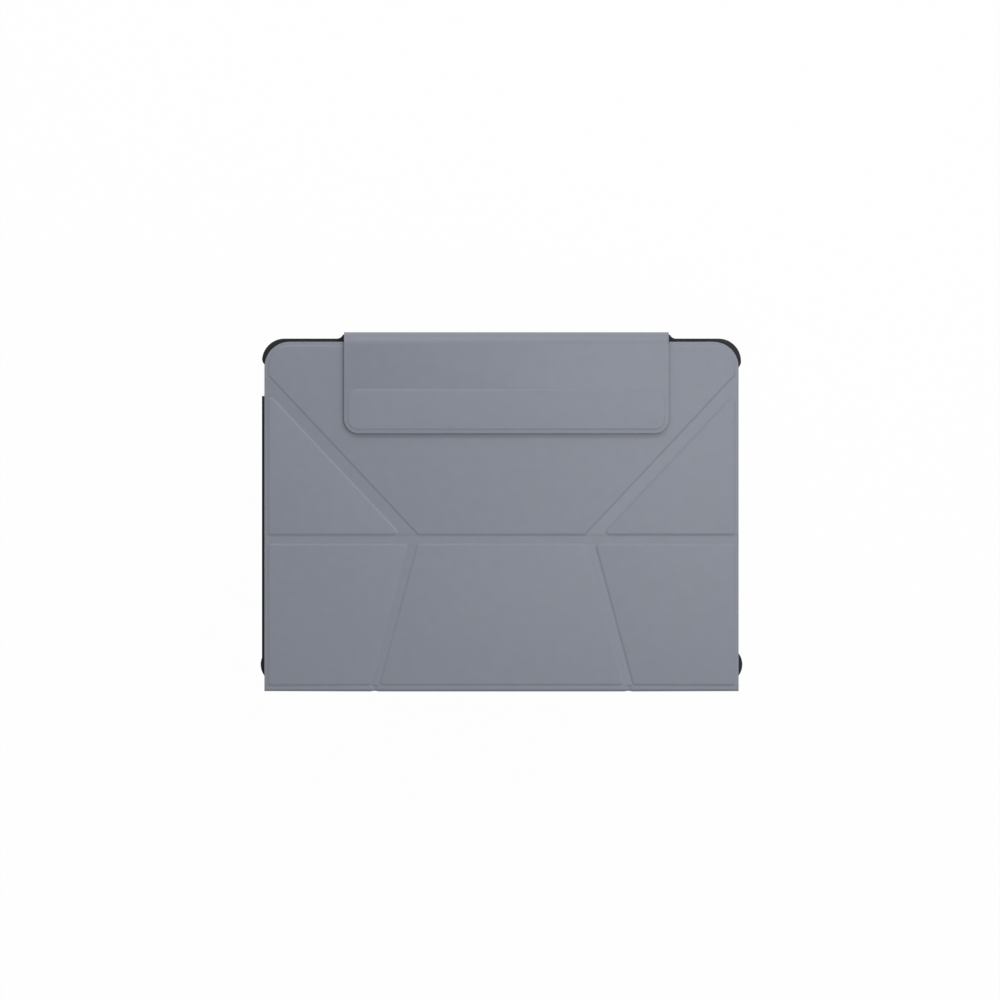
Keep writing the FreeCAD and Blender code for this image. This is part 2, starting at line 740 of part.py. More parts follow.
def build_keyboard_electrics():
    """Touchpad, its switch, battery, controller, charging port, power switch and light."""
    pad_x, pad_y = touchpad_spans()
    pad_z = (deck_z[0] + touchpad_recess, deck_z[0] + touchpad_recess + touchpad_t)
    corner = touchpad_corner_r
    edge_r = touchpad_t / 2
    plate = prism(rectangle(pad_x, (pad_y[0] + edge_r, pad_y[1]), 0, corner), pad_z)
    pivot = rod(edge_r, (pad_x[0], pad_y[0] + edge_r, sum(pad_z) / 2), (1, 0, 0), touchpad_length)
    save("touchpad", joined([plate, pivot]))
    click_y = pad_y[1] - click_from_edge
    click_top = pad_z[1] + click_travel + slip_gap
    click_body = block(span(0, click_base), span(click_y, click_base), (plate_z[0], base_z[0]))
    plunger = rod(click_r, (0, click_y, click_top), (0, 0, 1), base_z[0] - click_top)
    save("touchpad_switch", joined([click_body, plunger]))
    battery_x = (battery_from_side - keyboard_half, pad_x[0] - battery_from_pad)
    battery_y = (pad_y[0], pad_y[0] + battery_depth)
    battery_z = (base_z[0] - battery_t, base_z[0])
    cell = prism(rectangle(battery_x, battery_y, corner, corner), battery_z)
    save("battery_cell", ease(cell, battery_z[0], edge_r))
    board_x = (keyboard_half - port_length - controller_length, keyboard_half - port_length)
    board_y = (pad_y[0], pad_y[0] + controller_depth)
    circuit_z = (base_z[0] - controller_t, base_z[0])
    chip_z = (circuit_z[0] - chip_t, circuit_z[0])
    first_chip = board_x[0] + chip_from_edge
    chips = [
        block(span(x, chip_size), span(sum(board_y) / 2, chip_size), chip_z)
        for x in (first_chip, first_chip + chip_pitch)
    ]
    save("controller_board", joined([block(board_x, board_y, circuit_z), *chips]))
    spans = port_spans()
    mouth = (spans[0][0] + port_wall, spans[0][1])
    tongue_z = span(sum(spans[2]) / 2, port_wall)
    tongue = block(spans[0], grown(spans[1], -port_height), tongue_z)
    shell = flat_tube(spans, 0).cut(flat_tube((mouth, *spans[1:]), port_wall))
    save("charging_port", joined([shell, tongue]))
    knob_y, knob_z = switch_spans(0)
    knob = block((keyboard_half - rim_t - slip_gap, keyboard_half + switch_proud), knob_y, knob_z)
    flange_x = (keyboard_half - rim_t - slip_gap - switch_flange, keyboard_half - rim_t - slip_gap)
    flange = block(flange_x, grown(knob_y, switch_flange), grown(knob_z, dome_gap))
    save("power_switch", joined([knob, flange]))
    save("status_light", rod(light_r, light_start(), (0, 0, 1), deck_t + light_tail))


os.makedirs("parts", exist_ok=True)
keys = key_rows()
build_back()
build_bumper()
build_spine()
build_lower_cover()
build_upper_cover()
build_flap()
build_keyboard_case(keys)
build_key_stack(keys)
build_keyboard_electrics()
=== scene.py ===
import json
import math

import bmesh
import bpy
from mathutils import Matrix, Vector


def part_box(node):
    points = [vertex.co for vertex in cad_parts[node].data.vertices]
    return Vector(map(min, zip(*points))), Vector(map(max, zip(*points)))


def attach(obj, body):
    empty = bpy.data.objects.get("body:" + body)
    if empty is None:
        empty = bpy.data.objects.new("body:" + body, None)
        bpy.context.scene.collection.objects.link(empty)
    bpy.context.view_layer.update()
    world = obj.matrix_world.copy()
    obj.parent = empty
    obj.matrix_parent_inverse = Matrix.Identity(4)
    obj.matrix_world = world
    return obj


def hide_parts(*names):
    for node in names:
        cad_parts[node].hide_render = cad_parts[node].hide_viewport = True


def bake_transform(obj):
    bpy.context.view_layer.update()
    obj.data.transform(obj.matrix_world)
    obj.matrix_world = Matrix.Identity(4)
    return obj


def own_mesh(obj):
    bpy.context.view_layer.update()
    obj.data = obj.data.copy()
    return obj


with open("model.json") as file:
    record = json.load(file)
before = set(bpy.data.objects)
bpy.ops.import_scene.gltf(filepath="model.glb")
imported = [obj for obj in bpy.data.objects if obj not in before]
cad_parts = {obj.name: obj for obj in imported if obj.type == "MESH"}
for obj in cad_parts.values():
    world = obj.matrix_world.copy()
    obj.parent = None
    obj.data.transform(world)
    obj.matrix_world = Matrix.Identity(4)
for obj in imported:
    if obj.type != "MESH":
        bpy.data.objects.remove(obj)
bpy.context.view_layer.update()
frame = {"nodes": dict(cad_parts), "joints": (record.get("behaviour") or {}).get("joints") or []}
nodes = frame["nodes"]

# A folding keyboard case for a tablet, lying closed on its back. Lengths are metres, in the CAD frame.
mm = 0.001

# Crease pattern of the cover, measured from its middle line, its free edge and its sides
hem = 2.0 * mm
diagonal_width = 6.6 * mm
vertex_x = 46.6 * mm
wing_from_top = 20.5 * mm
slant_foot_x = 67.4 * mm
cover_corner_r = 13.4 * mm
panel_corner_r = 1.6 * mm
slope_out = 0.5 * mm
slope_in = 0.8 * mm
panel_rise = 0.36 * mm
strip_rise = 0.28 * mm

# Flap and the magnet strip sewn into it
flap_corner_r = 7.7 * mm
strip_depth = 21.2 * mm
strip_side_hem = 2.1 * mm
strip_foot_hem = 2.1 * mm
strip_corner_r = 5.3 * mm

# Sheets, with the angle in degrees past which an edge stays sharp
skin_t = 0.7 * mm
lining_t = 0.4 * mm
edge_roll = 0.2 * mm
spine_dip = 0.35 * mm
spine_dip_width = 5.0 * mm
crease_angle = 40.0
corner_steps = 10
slope_steps = 8
dip_steps = 8
roll_steps = 4
flat_steps = 4
hem_steps = 2
bend_steps = 14

# Camera window, and the rubber domes under the keys
window_corner_r = 9.0 * mm
weld = 0.01 * mm
same_point = 0.001 * mm
dome_sheet_t = 0.2 * mm
dome_sheet_corner_r = 1.5 * mm
dome_base_r = 3.0 * mm
dome_top_r = 1.5 * mm
dome_sides = 20
dome_steps = 8

# Photograph's frame: the camera looks straight down at this point from far away
view_width = 531.2 * mm
view_x = -0.8 * mm
view_y = 6.16 * mm
lens = 200.0
sensor = 36.0
view_limit = 100.0
floor_drop = 200.0 * mm
floor_size = 12.0
floor_colour = (0.96, 0.96, 0.96, 1)
floor_roughness = 0.9
white = (1, 1, 1, 1)
key_place = (0.18, 0.07, 0.62)
key_size = (0.3, 0.3)
key_power = 1.0
edge_place = (0.0, 0.8, 0.58)
edge_size = (1.4, 0.12)
edge_power = 2.9
fill_strength = 0.35
fill_lean = (0.3, 0.36, 0.36)
floor_glow = 0.97


def rounded(points, radii):
    """Points round a polygon, anticlockwise, each corner turned on an arc of its own radius."""
    ring = []
    for i, point in enumerate(points):
        corner = Vector(point)
        if radii[i] <= 0:
            ring.append(corner)
            continue
        back = (Vector(points[i - 1]) - corner).normalized()
        ahead = (Vector(points[(i + 1) % len(points)]) - corner).normalized()
        half = back.angle(ahead) / 2
        centre = corner + (back + ahead).normalized() * radii[i] / math.sin(half)
        start = corner + back * radii[i] / math.tan(half) - centre
        turn = math.pi - 2 * half
        for step in range(corner_steps + 1):
            angle = turn * step / corner_steps
            c, s = math.cos(angle), math.sin(angle)
            ring.append(centre + Vector((start.x * c - start.y * s, start.x * s + start.y * c)))
    return ring


def inset(points, distances):
    """A polygon with each side moved inward; side i leaves point i."""
    sides = []
    for i, point in enumerate(points):
        run = (Vector(points[(i + 1) % len(points)]) - Vector(point)).normalized()
        sides.append((Vector(point) + Vector((-run.y, run.x)) * distances[i], run))
    corners = []
    for i, (start, run) in enumerate(sides):
        before, before_run = sides[i - 1]
        gap = start - before
        turn = before_run.x * run.y - before_run.y * run.x
        along = (gap.x * run.y - gap.y * run.x) / turn
        corners.append(before + before_run * along)
    return corners


def rectangle(x, y):
    """The corners of a rectangle, anticlockwise from its lowest."""
    return [Vector((x[0], y[0])), Vector((x[1], y[0])), Vector((x[1], y[1])), Vector((x[0], y[1]))]


def add_rings(mesh, rings, cap_first, cap_last):
    """Quads between rings of equal length, with the chosen ends closed."""
    made = [[mesh.verts.new(p) for p in ring] for ring in rings]
    for low, high in zip(made, made[1:]):
        for i in range(len(low)):
            k = (i + 1) % len(low)
            mesh.faces.new((low[i], low[k], high[k], high[i]))
    if cap_first:
        mesh.faces.new(list(reversed(made[0])))
    if cap_last:
        mesh.faces.new(made[-1])


def finished(name, mesh, materials):
    """An object from a bmesh, smooth apart from its sharp edges."""
    data = bpy.data.meshes.new(name)
    mesh.to_mesh(data)
    mesh.free()
    for material in materials:
        data.materials.append(material)
    data.shade_smooth()
    data.set_sharp_from_angle(angle=math.radians(crease_angle))
    piece = bpy.data.objects.new(name, data)
    bpy.context.scene.collection.objects.link(piece)
    return piece


def add_sheet(mesh, points, radii, rolled, z):
    """A flat sheet with rolled edges; rolled holds 1 for a free side and 0 for a joined one."""
    rings = []
    for end, sign in ((z[0], 1), (z[1], -1)):
        for step in range(roll_steps + 1):
            angle = math.pi / 2 * (step if sign > 0 else roll_steps - step) / roll_steps
            back = edge_roll * (1 - math.sin(angle))
            level = end + sign * edge_roll * (1 - math.cos(angle))
            turned = [max(r - back, 0) for r in radii]
            ring = rounded(inset(points, [back * free for free in rolled]), turned)
            rings.append([(p.x, p.y, level) for p in ring])
    add_rings(mesh, rings, True, True)


def add_panel(mesh, points, radii, level, rise):
    """A raised panel that grows out of a sheet on a soft slope."""
    rings = []
    for step in range(slope_steps + 1):
        share = step / slope_steps
        back = (slope_out + slope_in) * share - slope_out
        height = level + rise * (0.5 - 0.5 * math.cos(math.pi * share))
        ring = rounded(inset(points, [back] * len(points)), [r - back for r in radii])
        rings.append([(p.x, p.y, height) for p in ring])
    add_rings(mesh, rings, False, True)


def swept(name, path, x, thickness, materials, dips=()):
    """A bent sheet along X, whose path holds (y, z, normal y, normal z); the first material is outside."""
    mesh = bmesh.new()
    half = thickness / 2
    places = []
    for step in range(roll_steps + 1):
        angle = math.pi / 2 * step / roll_steps
        places.append((x[0] + edge_roll * (1 - math.sin(angle)), half - edge_roll * (1 - math.cos(angle))))
    inner = [(place, half) for place in dip_places(dips)]
    far = [(x[0] + x[1] - place, height) for place, height in places]
    rings = []
    for place, height in places + inner + far[::-1]:
        sink = half + dip(place, dips)
        middle = [(y - ny * sink, z - nz * sink, ny, nz) for y, z, ny, nz in path]
        outer = [(place, y + ny * height, z + nz * height) for y, z, ny, nz in middle]
        under = [(place, y - ny * height, z - nz * height) for y, z, ny, nz in middle]
        rings.append(outer + under[::-1])
    add_rings(mesh, rings, True, True)
    bmesh.ops.recalc_face_normals(mesh, faces=mesh.faces)
    count = len(path)
    mesh.verts.ensure_lookup_table()
    if len(materials) > 1:
        for face in mesh.faces:
            if all(v.index % (2 * count) >= count for v in face.verts):
                face.material_index = 1
    return finished(name, mesh, materials)


def dip_places(dips):
    """Where along X a sheet that sinks at some places needs a section."""
    spread = [spine_dip_width * (i / dip_steps - 0.5) for i in range(dip_steps + 1)]
    return sorted(middle + s for middle in dips for s in spread)


def dip(place, dips):
    """How far the sheet sinks at a place along X."""
    for middle in dips:
        share = abs(place - middle) / (spine_dip_width / 2)
        if share < 1:
            return spine_dip * (0.5 + 0.5 * math.cos(math.pi * share))
    return 0.0


def straight(start, end, normal, steps=1):
    """A straight path in (y, z) with its outward normal."""
    runs = [i / steps for i in range(steps + 1)]
    return [(start[0] + (end[0] - start[0]) * t, start[1] + (end[1] - start[1]) * t, *normal) for t in runs]


def arc(axis, radius, start, end):
    """A path in (y, z) round an axis, between two angles from +Y in degrees."""
    path = []
    for step in range(bend_steps + 1):
        angle = math.radians(start + (end - start) * step / bend_steps)
        c, s = math.cos(angle), math.sin(angle)
        path.append((axis[0] + radius * c, axis[1] + radius * s, c, s))
    return path


def plate(name, loops, z, materials):
    """A flat sheet with holes and rounded edges, from its outline and the outlines of its holes."""
    curve = bpy.data.curves.new(name, "CURVE")
    curve.dimensions = "2D"
    curve.fill_mode = "BOTH"
    curve.extrude = (z[1] - z[0]) / 2 - edge_roll / 2
    curve.bevel_depth = edge_roll / 2
    curve.bevel_resolution = hem_steps
    curve.offset = -edge_roll / 2
    for loop in loops:
        spline = curve.splines.new("POLY")
        spline.points.add(len(loop) - 1)
        for point, place in zip(spline.points, loop):
            point.co = (place.x, place.y, 0, 1)
        spline.use_cyclic_u = True
    outline = bpy.data.objects.new(name + ".outline", curve)
    bpy.context.scene.collection.objects.link(outline)
    bpy.context.view_layer.update()
    mesh = bmesh.new()
    mesh.from_mesh(bpy.data.meshes.new_from_object(outline))
    bpy.data.objects.remove(outline)
    bmesh.ops.remove_doubles(mesh, verts=mesh.verts, dist=same_point)
    bmesh.ops.translate(mesh, verts=mesh.verts, vec=(0, 0, sum(z) / 2))
    return finished(name, mesh, materials)


class Surface:
    """A material whose colour, roughness and relief are worked out from the place on the object."""

    def __init__(self, name, roughness, metallic=0.0, specular=0.4):
        self.material = bpy.data.materials.new(name)
        self.material.use_nodes = True
        self.tree = self.material.node_tree
        self.shader = self.tree.nodes["Principled BSDF"]
        self.shader.inputs["Metallic"].default_value = metallic
        self.shader.inputs["Specular IOR Level"].default_value = specular
        self.shader.inputs["Roughness"].default_value = roughness
        self.place = self.tree.nodes.new("ShaderNodeTexCoord").outputs["Object"]
        self.relief = None

    def node(self, kind, **inputs):
        """A shader node with its inputs set or linked."""
        made = self.tree.nodes.new(kind)
        for key, value in inputs.items():
            socket = made.inputs[key.replace("_", " ")]
            if isinstance(value, bpy.types.NodeSocket):
                self.tree.links.new(value, socket)
            else:
                socket.default_value = value
        return made

    def stretched(self, scale):
        """The place, stretched by a factor along each axis."""
        return self.node("ShaderNodeMapping", Vector=self.place, Scale=scale).outputs["Vector"]

    def noise(self, size, detail=3.0, rough=0.55, place=None):
        """Soft noise whose features are about the given size."""
        made = self.node("ShaderNodeTexNoise", Vector=place or self.place, Scale=1 / size, Detail=detail)
        made.inputs["Roughness"].default_value = rough
        return made.outputs["Fac"]

    def cells(self, size, place=None):
        """Pebbles about the given size, high in their middles."""
        made = self.node("ShaderNodeTexVoronoi", Vector=place or self.place, Scale=1 / size)
        made.feature = "SMOOTH_F1"
        return made.outputs["Distance"]

    def colour(self, dark, light, value, low=0.3, high=0.7):
        """The base colour between two colours, by a value."""
        ramp = self.node("ShaderNodeValToRGB", Fac=value)
        first, last = ramp.color_ramp.elements
        first.position, last.position = low, high
        first.color, last.color = (*dark, 1), (*light, 1)
        self.tree.links.new(ramp.outputs["Color"], self.shader.inputs["Base Color"])

    def roughen(self, low, high, value):
        """The roughness between two values, by a value."""
        spread = self.node("ShaderNodeMapRange", Value=value)
        spread.inputs["To Min"].default_value = low
        spread.inputs["To Max"].default_value = high
        self.tree.links.new(spread.outputs["Result"], self.shader.inputs["Roughness"])

    def raise_by(self, value, depth, strength=0.5):
        """Relief from a value, on top of any relief so far."""
        bump = self.node("ShaderNodeBump", Height=value, Distance=depth, Strength=strength)
        if self.relief:
            self.tree.links.new(self.relief, bump.inputs["Normal"])
        self.relief = bump.outputs["Normal"]
        self.tree.links.new(self.relief, self.shader.inputs["Normal"])

    def sheen(self, weight, roughness):
        """A soft pile's sheen."""
        self.shader.inputs["Sheen Weight"].default_value = weight
        self.shader.inputs["Sheen Roughness"].default_value = roughness


def shade(colour, factor):
    """A colour made darker or lighter."""
    return tuple(min(c * factor, 1.0) for c in colour)


def leather():
    """Grey synthetic leather with a fine pebble grain."""
    made = Surface("cover_leather", 0.5, specular=0.4)
    colour = (0.215, 0.231, 0.275)
    made.colour(shade(colour, 0.97), shade(colour, 1.02), made.noise(6 * mm, 6.0))
    made.roughen(0.38, 0.5, made.noise(3 * mm, 5.0))
    made.raise_by(made.cells(0.75 * mm), 0.05 * mm, 0.35)
    made.raise_by(made.noise(0.3 * mm), 0.02 * mm, 0.3)
    made.raise_by(made.noise(9 * mm, 2.0), 0.06 * mm, 0.3)
    return made.material


def microfibre():
    """Soft napped lining."""
    made = Surface("lining_fabric", 0.92, specular=0.15)
    colour = (0.19, 0.2, 0.225)
    made.colour(shade(colour, 0.85), shade(colour, 1.12), made.noise(3 * mm, 6.0, 0.7))
    made.raise_by(made.noise(0.22 * mm, 4.0, 0.7), 0.06 * mm, 0.6)
    made.sheen(0.35, 0.5)
    return made.material


def moulded(name, colour, roughness, grain, depth, specular=0.35):
    """Moulded plastic or rubber with a fine spark-eroded texture."""
    made = Surface(name, roughness, specular=specular)
    made.colour(shade(colour, 0.85), shade(colour, 1.15), made.noise(8 * mm, 4.0))
    made.roughen(roughness - 0.07, roughness + 0.07, made.noise(2.5 * mm, 5.0))
    made.raise_by(made.noise(grain, 2.0), depth, 0.45)
    return made.material


def metal(name, colour, roughness, along):
    """Rolled or plated metal with fine lines along one axis."""
    made = Surface(name, roughness, metallic=1.0, specular=0.5)
    lines = made.noise(0.4 * mm, 4.0, 0.6, made.stretched(along))
    made.colour(shade(colour, 0.9), shade(colour, 1.08), lines)
    made.roughen(roughness - 0.08, roughness + 0.1, made.noise(4 * mm, 4.0))
    made.raise_by(lines, 0.01 * mm, 0.3)
    return made.material


def fibre_board():
    """Pressed board with long fibres."""
    made = Surface("board_stock", 0.9, specular=0.15)
    colour = (0.42, 0.36, 0.28)
    fibres = made.noise(0.8 * mm, 6.0, 0.7, made.stretched((0.3, 1, 1)))
    made.colour(shade(colour, 0.8), shade(colour, 1.12), fibres)
    made.raise_by(fibres, 0.05 * mm, 0.4)
    return made.material


def circuit_mask():
    """Green lacquer over circuit tracks."""
    made = Surface("circuit_board", 0.4, specular=0.5)
    tracks = made.node("ShaderNodeTexBrick", Vector=made.place, Scale=220.0)
    made.colour((0.02, 0.12, 0.05), (0.05, 0.22, 0.1), tracks.outputs["Fac"], 0.2, 0.8)
    made.raise_by(tracks.outputs["Fac"], 0.03 * mm, 0.4)
    return made.material


def foil():
    """Creased foil of a battery pouch."""
    made = Surface("battery_foil", 0.35, metallic=0.9, specular=0.5)
    creases = made.noise(6 * mm, 5.0, 0.6)
    made.colour((0.5, 0.5, 0.51), (0.68, 0.68, 0.69), creases)
    made.roughen(0.28, 0.5, made.noise(2 * mm))
    made.raise_by(creases, 0.3 * mm, 0.35)
    return made.material


grey_leather = leather()
lining = microfibre()
rubber = moulded("bumper_rubber", (0.015, 0.016, 0.018), 0.6, 0.25 * mm, 0.015 * mm, 0.3)
shell = moulded("shell_plastic", (0.026, 0.027, 0.03), 0.62, 0.3 * mm, 0.02 * mm)
board = fibre_board()
keeper = metal("keeper_steel", (0.5, 0.5, 0.51), 0.38, (0.05, 1, 1))
nickel = metal("magnet_metal", (0.55, 0.54, 0.52), 0.28, (1, 0.1, 1))
magnet_sheet = moulded("magnet_rubber", (0.05, 0.045, 0.042), 0.75, 0.2 * mm, 0.02 * mm, 0.25)
case_plastic = moulded("keyboard_plastic", (0.05, 0.053, 0.06), 0.55, 0.28 * mm, 0.02 * mm)
key_plastic = moulded("key_plastic", (0.03, 0.032, 0.036), 0.48, 0.18 * mm, 0.008 * mm)
pad_face = moulded("touchpad_face", (0.06, 0.063, 0.07), 0.3, 0.1 * mm, 0.003 * mm, 0.5)
aluminium = metal("plate_aluminium", (0.6, 0.6, 0.61), 0.35, (0.05, 1, 1))
film = moulded("membrane_film", (0.5, 0.51, 0.53), 0.35, 0.5 * mm, 0.01 * mm, 0.5)
silicone = moulded("dome_rubber", (0.3, 0.31, 0.32), 0.5, 0.3 * mm, 0.01 * mm)
solder_mask = circuit_mask()
pouch = foil()
port_steel = metal("port_metal", (0.5, 0.5, 0.5), 0.3, (0.1, 1, 1))
lens_plastic = moulded("light_lens", (0.7, 0.75, 0.8), 0.2, 0.2 * mm, 0.003 * mm, 0.5)

finishes = {
    rubber: ["bumper_frame", "base_feet"],
    shell: ["tray_shell", "camera_ring"],
    board: [
        "back_board", "spine_boards", "board_lower_left", "board_lower_centre", "board_lower_right",
        "board_upper", "board_left_wing", "board_right_wing",
    ],
    keeper: ["keyboard_keepers", "flap_keeper_plate", "base_screws"],
    nickel: ["wake_magnet", "keyboard_magnets"],
    magnet_sheet: ["flap_magnet_strip"],
    case_plastic: ["keyboard_base", "keyboard_deck", "power_switch"],
    key_plastic: [
        "function_keys", "number_keys", "upper_letter_keys", "home_keys", "lower_letter_keys",
        "modifier_keys", "space_bar",
    ],
    pad_face: ["touchpad"],
    aluminium: ["key_plate"],
    film: ["circuit_membrane"],
    solder_mask: ["controller_board", "touchpad_switch"],
    pouch: ["battery_cell"],
    port_steel: ["charging_port"],
    lens_plastic: ["status_light"],
}


def finish_nodes():
    """Gives each CAD node that stays its material."""
    for material, names in finishes.items():
        for name in names:
            nodes[name].data.materials.clear()
            nodes[name].data.materials.append(material)


def spans(node):
    """A CAD node's (low, high) along X, Y and Z."""
    low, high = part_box(node)
    return tuple(zip(low, high))


def placed(piece, node, body):
    """A finished piece that stands for a CAD node and rides on its body."""
    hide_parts(node)
    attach(piece, body)
    return piece


def bent(strip, node):
    """A finished soft strip that stands for a CAD node, with its placement baked into its mesh."""
    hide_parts(node)
    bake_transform(strip)


def upper_panels(x, y):
    """Outline, side distances and corner radii of the upper panel and the two wings."""
    crease = sum(spans("crease_middle")[1]) / 2
    mid = y[0] - crease
    wing = y[1] - wing_from_top
    diagonal = diagonal_width / 2
    small = panel_corner_r
    top = cover_corner_r - hem
    hexagon = [
        (-vertex_x, crease), (vertex_x, crease), (x[1], wing),
        (x[1], y[1]), (x[0], y[1]), (x[0], wing),
    ]
    left = [(x[0], crease), (-vertex_x, crease), (x[0], wing)]
    right = [(vertex_x, crease), (x[1], crease), (x[1], wing)]
    return [
        (hexagon, [mid, diagonal, hem, hem, hem, diagonal], [small, small, small, top, top, small]),
        (left, [mid, diagonal, hem], [small] * 3),
        (right, [mid, hem, diagonal], [small] * 3),
    ]


def lower_panels(x, y):
    """Outline, side distances and corner radii of the three lower panels."""
    crease = sum(spans("crease_middle")[1]) / 2
    mid = crease - y[1]
    small = [panel_corner_r] * 4
    foot = slant_foot_x
    left = [(x[0], y[0]), (-foot, y[0]), (-vertex_x, crease), (x[0], crease)]
    centre = [(-foot, y[0]), (foot, y[0]), (vertex_x, crease), (-vertex_x, crease)]
    right = [(foot, y[0]), (x[1], y[0]), (x[1], crease), (vertex_x, crease)]
    return [
        (left, [0, mid, mid, hem], small),
        (centre, [0, mid, mid, mid], small),
        (right, [0, hem, mid, mid], small),
    ]


def cover_half(name, node, body, corners, rolled, panels):
    """One half of the cover's leather, drawn over its stiff panels."""
    x, y, z = spans(node)
    mesh = bmesh.new()
    add_sheet(mesh, rectangle(x, y), corners, rolled, (z[0], z[0] + skin_t))
    for points, distances, radii in panels(x, y):
        add_panel(mesh, inset(points, distances), radii, z[0] + skin_t, panel_rise)
    return placed(finished(name, mesh, [grey_leather]), node, body)


def build_cover():
    """Leather and lining of both halves of the cover, and the crease between them."""
    r = cover_corner_r
    cover_half("cover_lower_leather", "lower_skin", "cover_lower", [0] * 4, [0, 1, 0, 1], lower_panels)
    cover_half("cover_upper_leather", "upper_skin", "cover_upper", [0, 0, r, r], [0, 1, 1, 1], upper_panels)
    lower_boards = ["board_lower_left", "board_lower_centre", "board_lower_right"]
    upper_boards = ["board_upper", "board_left_wing", "board_right_wing"]
    for name, node, body, corners, boards in (
        ("cover_lower_lining", "lower_lining", "cover_lower", [0] * 4, lower_boards),
        ("cover_upper_lining", "upper_lining", "cover_upper", [0, 0, r, r], upper_boards),
    ):
        x, y, z = spans(node)
        fabric = plate(name, [rounded(rectangle(x, y), corners)], z, [lining])
        placed(fabric, node, body)
    x, y, z = spans("crease_middle")
    path = straight((y[0], z[1]), (y[1], z[1]), (0, 1), bend_steps)
    strip = swept("crease_leather", path, x, z[1] - z[0], [grey_leather, lining])
    bent(strip, "crease_middle")


def build_spine():
    """Spine, sunk between its stiff lengths, and the soft hinges above and below it."""
    dips = (-slant_foot_x, slant_foot_x)
    x, y, z = spans("spine_skin")
    path = straight((y[0], z[0]), (y[0], z[1]), (-1, 0), flat_steps)
    outer = swept("spine_leather", path, x, skin_t, [grey_leather], dips)
    placed(outer, "spine_skin", "spine")
    x, y, z = spans("spine_lining")
    path = straight((y[0], z[0]), (y[0], z[1]), (-1, 0), flat_steps)
    fabric = swept("spine_lining_fabric", path, x, y[1] - y[0], [lining])
    placed(fabric, "spine_lining", "spine")
    for name, node, bodies, end in (
        ("hinge_back_leather", "hinge_back", ("tray", "spine"), 0),
        ("hinge_cover_leather", "hinge_cover", ("spine", "cover_lower"), 1),
    ):
        hinge_x, hinge_y, hinge_z = spans(node)
        radius = fold_radius(node)
        axis_y = hinge_y[0] + radius
        axis_z = hinge_z[1] - radius if end else hinge_z[0] + radius
        flat_z = hinge_z[end]
        level = straight((hinge_y[1], flat_z), (axis_y, flat_z), (0, 1 if end else -1), flat_steps)
        turn = arc((axis_y, axis_z), radius, 90 if end else 270, 180)
        upright = straight((hinge_y[0], axis_z), (hinge_y[0], hinge_z[1 - end]), (-1, 0), flat_steps)
        strip = swept(name, level + turn[1:-1] + upright, hinge_x, skin_t, [grey_leather, lining], dips)
        bent(strip, node)


def fold_radius(node):
    """The outer radius of a hinge strip, from its joint's axis to the strip's outer face."""
    joint = {"hinge_back": "spine_fold", "hinge_cover": "cover_open"}[node]
    axis = next(j["pos_m"] for j in frame["joints"] if j["name"] == joint)
    return axis[1] - spans(node)[1][0]


def build_back():
    """Back panel's leather with its camera window."""
    x, y, z = spans("back_skin")
    tongue_x = spans("flap_hinge_back")[0]
    head = spans("upper_skin")[1][1]
    outline = [
        (x[0], y[0]), (x[1], y[0]), (x[1], head), (tongue_x[1], head), (tongue_x[1], y[1]),
        (tongue_x[0], y[1]), (tongue_x[0], head), (x[0], head),
    ]
    radii = [0, 0, cover_corner_r, 0, 0, 0, 0, cover_corner_r]
    window_x, window_y = spans("camera_ring")[:2]
    window = rounded(rectangle(window_x, window_y), [window_corner_r] * 4)
    back = plate("back_leather", [rounded(outline, radii), window], z, [grey_leather])
    placed(back, "back_skin", "tray")


def build_flap():
    """Flap: its front with the magnet strip, the bridge over the stylus and the two bends."""
    x, y, z = spans("flap_skin")
    r = flap_corner_r
    mesh = bmesh.new()
    add_sheet(mesh, rectangle(x, y), [r, r, 0, 0], [1, 1, 0, 1], (z[0], z[0] + skin_t))
    strip_x = (x[0] + strip_side_hem, x[1] - strip_side_hem)
    strip_y = (y[0] + strip_foot_hem, y[0] + strip_foot_hem + strip_depth)
    add_panel(mesh, rectangle(strip_x, strip_y), [strip_corner_r] * 4, z[0] + skin_t, strip_rise)
    placed(finished("flap_leather", mesh, [grey_leather]), "flap_skin", "flap_front")
    x, y, z = spans("flap_lining")
    fabric = plate("flap_lining_fabric", [rounded(rectangle(x, y), [r, r, 0, 0])], z, [lining])
    placed(fabric, "flap_lining", "flap_front")
    x, y, z = spans("bridge_skin")
    path = straight((y[1], z[0]), (y[1], z[1]), (1, 0), flat_steps)
    outer = swept("bridge_leather", path, x, skin_t, [grey_leather])
    placed(outer, "bridge_skin", "flap_bridge")
    x, y, z = spans("bridge_lining")
    path = straight((y[1], z[0]), (y[1], z[1]), (1, 0), flat_steps)
    fabric = swept("bridge_lining_fabric", path, x, y[1] - y[0], [lining])
    placed(fabric, "bridge_lining", "flap_bridge")
    build_flap_bends()


def build_flap_bends():
    """The two soft bends of the flap, at the back edge and at the front edge."""
    sheet_t = skin_t + lining_t
    x, y, z = spans("flap_hinge_front")
    axis = (y[0], z[0])
    front = swept("flap_front_bend", arc(axis, y[1] - y[0], 90, 0), x, sheet_t, [grey_leather, lining])
    bent(front, "flap_hinge_front")
    x, y, z = spans("flap_hinge_back")
    radius = z[1] - z[0]
    axis = (y[1] - radius, z[1])
    flat = straight((y[0], z[0]), (axis[0], z[0]), (0, -1), flat_steps)
    path = flat[:-1] + arc(axis, radius, 270, 360)
    back = swept("flap_back_bend", path, x, skin_t, [grey_leather, lining])
    bent(back, "flap_hinge_back")


